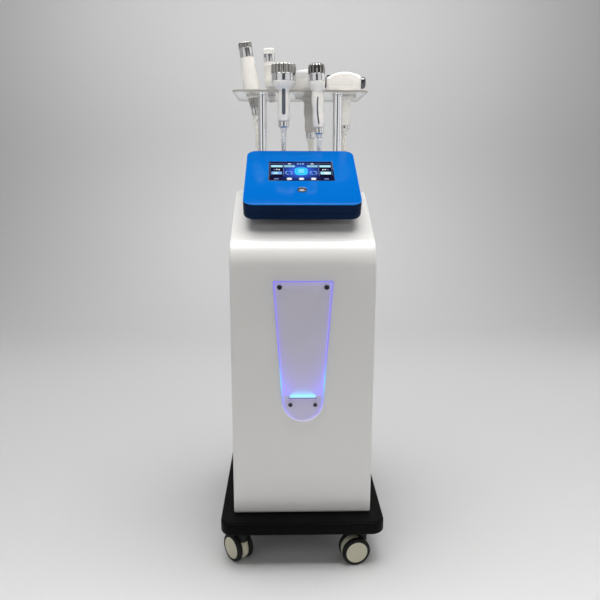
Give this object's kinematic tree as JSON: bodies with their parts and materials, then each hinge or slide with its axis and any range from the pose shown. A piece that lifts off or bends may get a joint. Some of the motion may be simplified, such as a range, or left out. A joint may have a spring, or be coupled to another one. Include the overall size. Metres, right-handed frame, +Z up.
{
  "type": "cavitation slimming machine",
  "caption": "White floor-standing cavitation and slimming machine on castors, with a tilted blue touch-screen console and a clear shelf of handpieces.",
  "frame": {"origin": "on the floor, under the middle of the bounding box", "axes": "+Z up, -Y towards the user, who faces the light panel and the console, +X to that user's right"},
  "size_m": [0.426, 0.652, 1.382],
  "materials": {
    "white_paint": "gloss",
    "black_plastic": "satin",
    "tyre_black": "matte",
    "hood_grey": "satin",
    "steel_grey": "satin",
    "chrome": "mirror",
    "blue_gloss": "gloss",
    "navy_gloss": "gloss",
    "screen_glass": "gloss",
    "acrylic": "gloss",
    "light_cyan": "gloss",
    "handle_white": "gloss",
    "crown_metal": "satin",
    "hose_ivory": "satin",
    "board_green": "satin",
    "motor_metal": "satin"
  },
  "bodies": {
    "machine": {"base_plate": "black_plastic", "cabinet_shell": "white_paint", "rear_panel": "white_paint", "mains_inlet": "black_plastic", "light_panel": "acrylic", "light_bar": "light_cyan", "console_tray": "navy_gloss", "console_cover": "blue_gloss", "touch_screen": "screen_glass", "button_bezel": "chrome", "console_stand": "black_plastic", "pillar_left": "chrome", "pillar_right": "chrome", "shelf": "acrylic", "power_supply": "motor_metal", "heat_sink": "steel_grey", "generator_board": "board_green", "vacuum_pump": "motor_metal", "contour_probe_hose": "hose_ivory", "body_rf_hose": "hose_ivory", "face_rf_hose": "hose_ivory", "cavitation_hose": "hose_ivory", "roller_hose": "hose_ivory"},
    "castor_front_left": {"castor_front_left_hood": "hood_grey"},
    "wheels_front_left": {"castor_front_left_wheel_a": "tyre_black", "castor_front_left_wheel_b": "tyre_black"},
    "castor_front_right": {"castor_front_right_hood": "hood_grey"},
    "wheels_front_right": {"castor_front_right_wheel_a": "tyre_black", "castor_front_right_wheel_b": "tyre_black"},
    "castor_rear_left": {"castor_rear_left_hood": "hood_grey"},
    "wheels_rear_left": {"castor_rear_left_wheel_a": "tyre_black", "castor_rear_left_wheel_b": "tyre_black"},
    "castor_rear_right": {"castor_rear_right_hood": "hood_grey"},
    "wheels_rear_right": {"castor_rear_right_wheel_a": "tyre_black", "castor_rear_right_wheel_b": "tyre_black"},
    "contour_probe": {"contour_probe_body": "handle_white", "contour_probe_head": "crown_metal", "contour_probe_tail": "chrome"},
    "lift_probe": {"lift_probe_body": "handle_white", "lift_probe_head": "crown_metal", "lift_probe_tail": "chrome"},
    "body_rf": {"body_rf_body": "handle_white", "body_rf_head": "crown_metal", "body_rf_tail": "chrome"},
    "face_rf": {"face_rf_body": "handle_white", "face_rf_head": "crown_metal", "face_rf_tail": "chrome"},
    "cavitation": {"cavitation_body": "handle_white", "cavitation_head": "steel_grey", "cavitation_tail": "chrome"},
    "roller": {"roller_body": "handle_white", "roller_tail": "chrome"},
    "drum": {"roller_drum": "chrome"},
    "power_button": {"power_button": "chrome"},
    "mains_switch": {"mains_switch": "black_plastic"}
  },
  "joints": [
    {"name": "swivel_front_left", "type": "hinge", "parent": "machine", "child": "castor_front_left", "pos_m": [-0.158, -0.2845, 0.092], "axis": [0, 0, 1], "continuous": true},
    {"name": "roll_front_left", "type": "hinge", "parent": "castor_front_left", "child": "wheels_front_left", "pos_m": [-0.17053, -0.26891, 0.03678], "axis": [-0.7793, -0.6266, 0], "continuous": true},
    {"name": "swivel_front_right", "type": "hinge", "parent": "machine", "child": "castor_front_right", "pos_m": [0.158, -0.2845, 0.092], "axis": [0, 0, 1], "continuous": true},
    {"name": "roll_front_right", "type": "hinge", "parent": "castor_front_right", "child": "wheels_front_right", "pos_m": [0.13842, -0.28859, 0.03678], "axis": [0.2045, -0.9789, 0], "continuous": true},
    {"name": "swivel_rear_left", "type": "hinge", "parent": "machine", "child": "castor_rear_left", "pos_m": [-0.158, 0.1845, 0.092], "axis": [0, 0, 1], "continuous": true},
    {"name": "roll_rear_left", "type": "hinge", "parent": "castor_rear_left", "child": "wheels_rear_left", "pos_m": [-0.15051, 0.20304, 0.03678], "axis": [-0.9272, 0.3746, 0], "continuous": true},
    {"name": "swivel_rear_right", "type": "hinge", "parent": "machine", "child": "castor_rear_right", "pos_m": [0.158, 0.1845, 0.092], "axis": [0, 0, 1], "continuous": true},
    {"name": "roll_rear_right", "type": "hinge", "parent": "castor_rear_right", "child": "wheels_rear_right", "pos_m": [0.14892, 0.20232, 0.03678], "axis": [-0.891, -0.454, 0], "continuous": true},
    {"name": "lift_contour_probe", "type": "slide", "parent": "machine", "child": "contour_probe", "axis": [-0.1461, 0, 0.9893], "range_m": [0, 0.09]},
    {"name": "lift_lift_probe", "type": "slide", "parent": "machine", "child": "lift_probe", "axis": [-0.0663, 0, 0.9978], "range_m": [0, 0.065]},
    {"name": "lift_body_rf", "type": "slide", "parent": "machine", "child": "body_rf", "axis": [0, 0, 1], "range_m": [0, 0.115]},
    {"name": "lift_face_rf", "type": "slide", "parent": "machine", "child": "face_rf", "axis": [-0.0489, 0, 0.9988], "range_m": [0, 0.135]},
    {"name": "lift_cavitation", "type": "slide", "parent": "machine", "child": "cavitation", "axis": [-0.0663, 0, 0.9978], "range_m": [0, 0.165]},
    {"name": "lift_roller", "type": "slide", "parent": "machine", "child": "roller", "axis": [0, 0, 1], "range_m": [0, 0.12]},
    {"name": "spin_drum", "type": "hinge", "parent": "roller", "child": "drum", "pos_m": [0.135, 0.168, 1.2702], "axis": [1, 0, 0], "continuous": true},
    {"name": "press_power_button", "type": "slide", "parent": "machine", "child": "power_button", "axis": [0, 0.4384, -0.8988], "range_m": [0, 0.0025], "stiffness_N_per_m": 800},
    {"name": "tip_mains_switch", "type": "hinge", "parent": "machine", "child": "mains_switch", "pos_m": [0.0165, 0.1886, 0.2339], "axis": [1, 0, 0], "range_deg": [-14, 0]}
  ]
}
